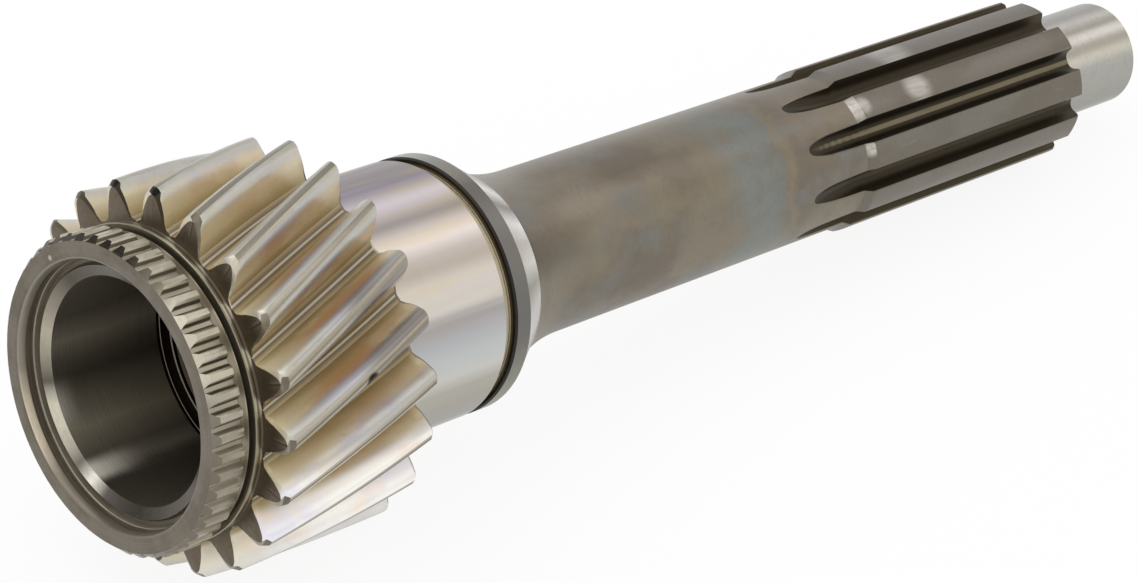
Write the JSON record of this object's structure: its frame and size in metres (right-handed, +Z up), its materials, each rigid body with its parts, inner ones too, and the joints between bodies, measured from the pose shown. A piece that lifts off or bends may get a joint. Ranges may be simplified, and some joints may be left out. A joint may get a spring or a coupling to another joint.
{
  "type": "clutch shaft",
  "caption": "Steel gearbox clutch shaft: bored front end with a coupling ring and a helical gear, then a bearing seat, a necked plain shaft, a splined length and a pilot nose.",
  "frame": {"origin": "on the floor under the middle of the bounding box, as the shaft lies at rest on two gear teeth and one spline", "axes": "+X along the shaft from the gear end to the pilot nose, the shaft's own axis dipping 5 degrees below it; +Y to the left of that; +Z up"},
  "size_m": [0.3138, 0.0794, 0.0817],
  "materials": {
    "steel": "hardened steel: ground seats, hobbed teeth with temper tints, rough-turned shaft"
  },
  "bodies": {
    "root": {"clutch_shaft": "steel"}
  },
  "joints": []
}
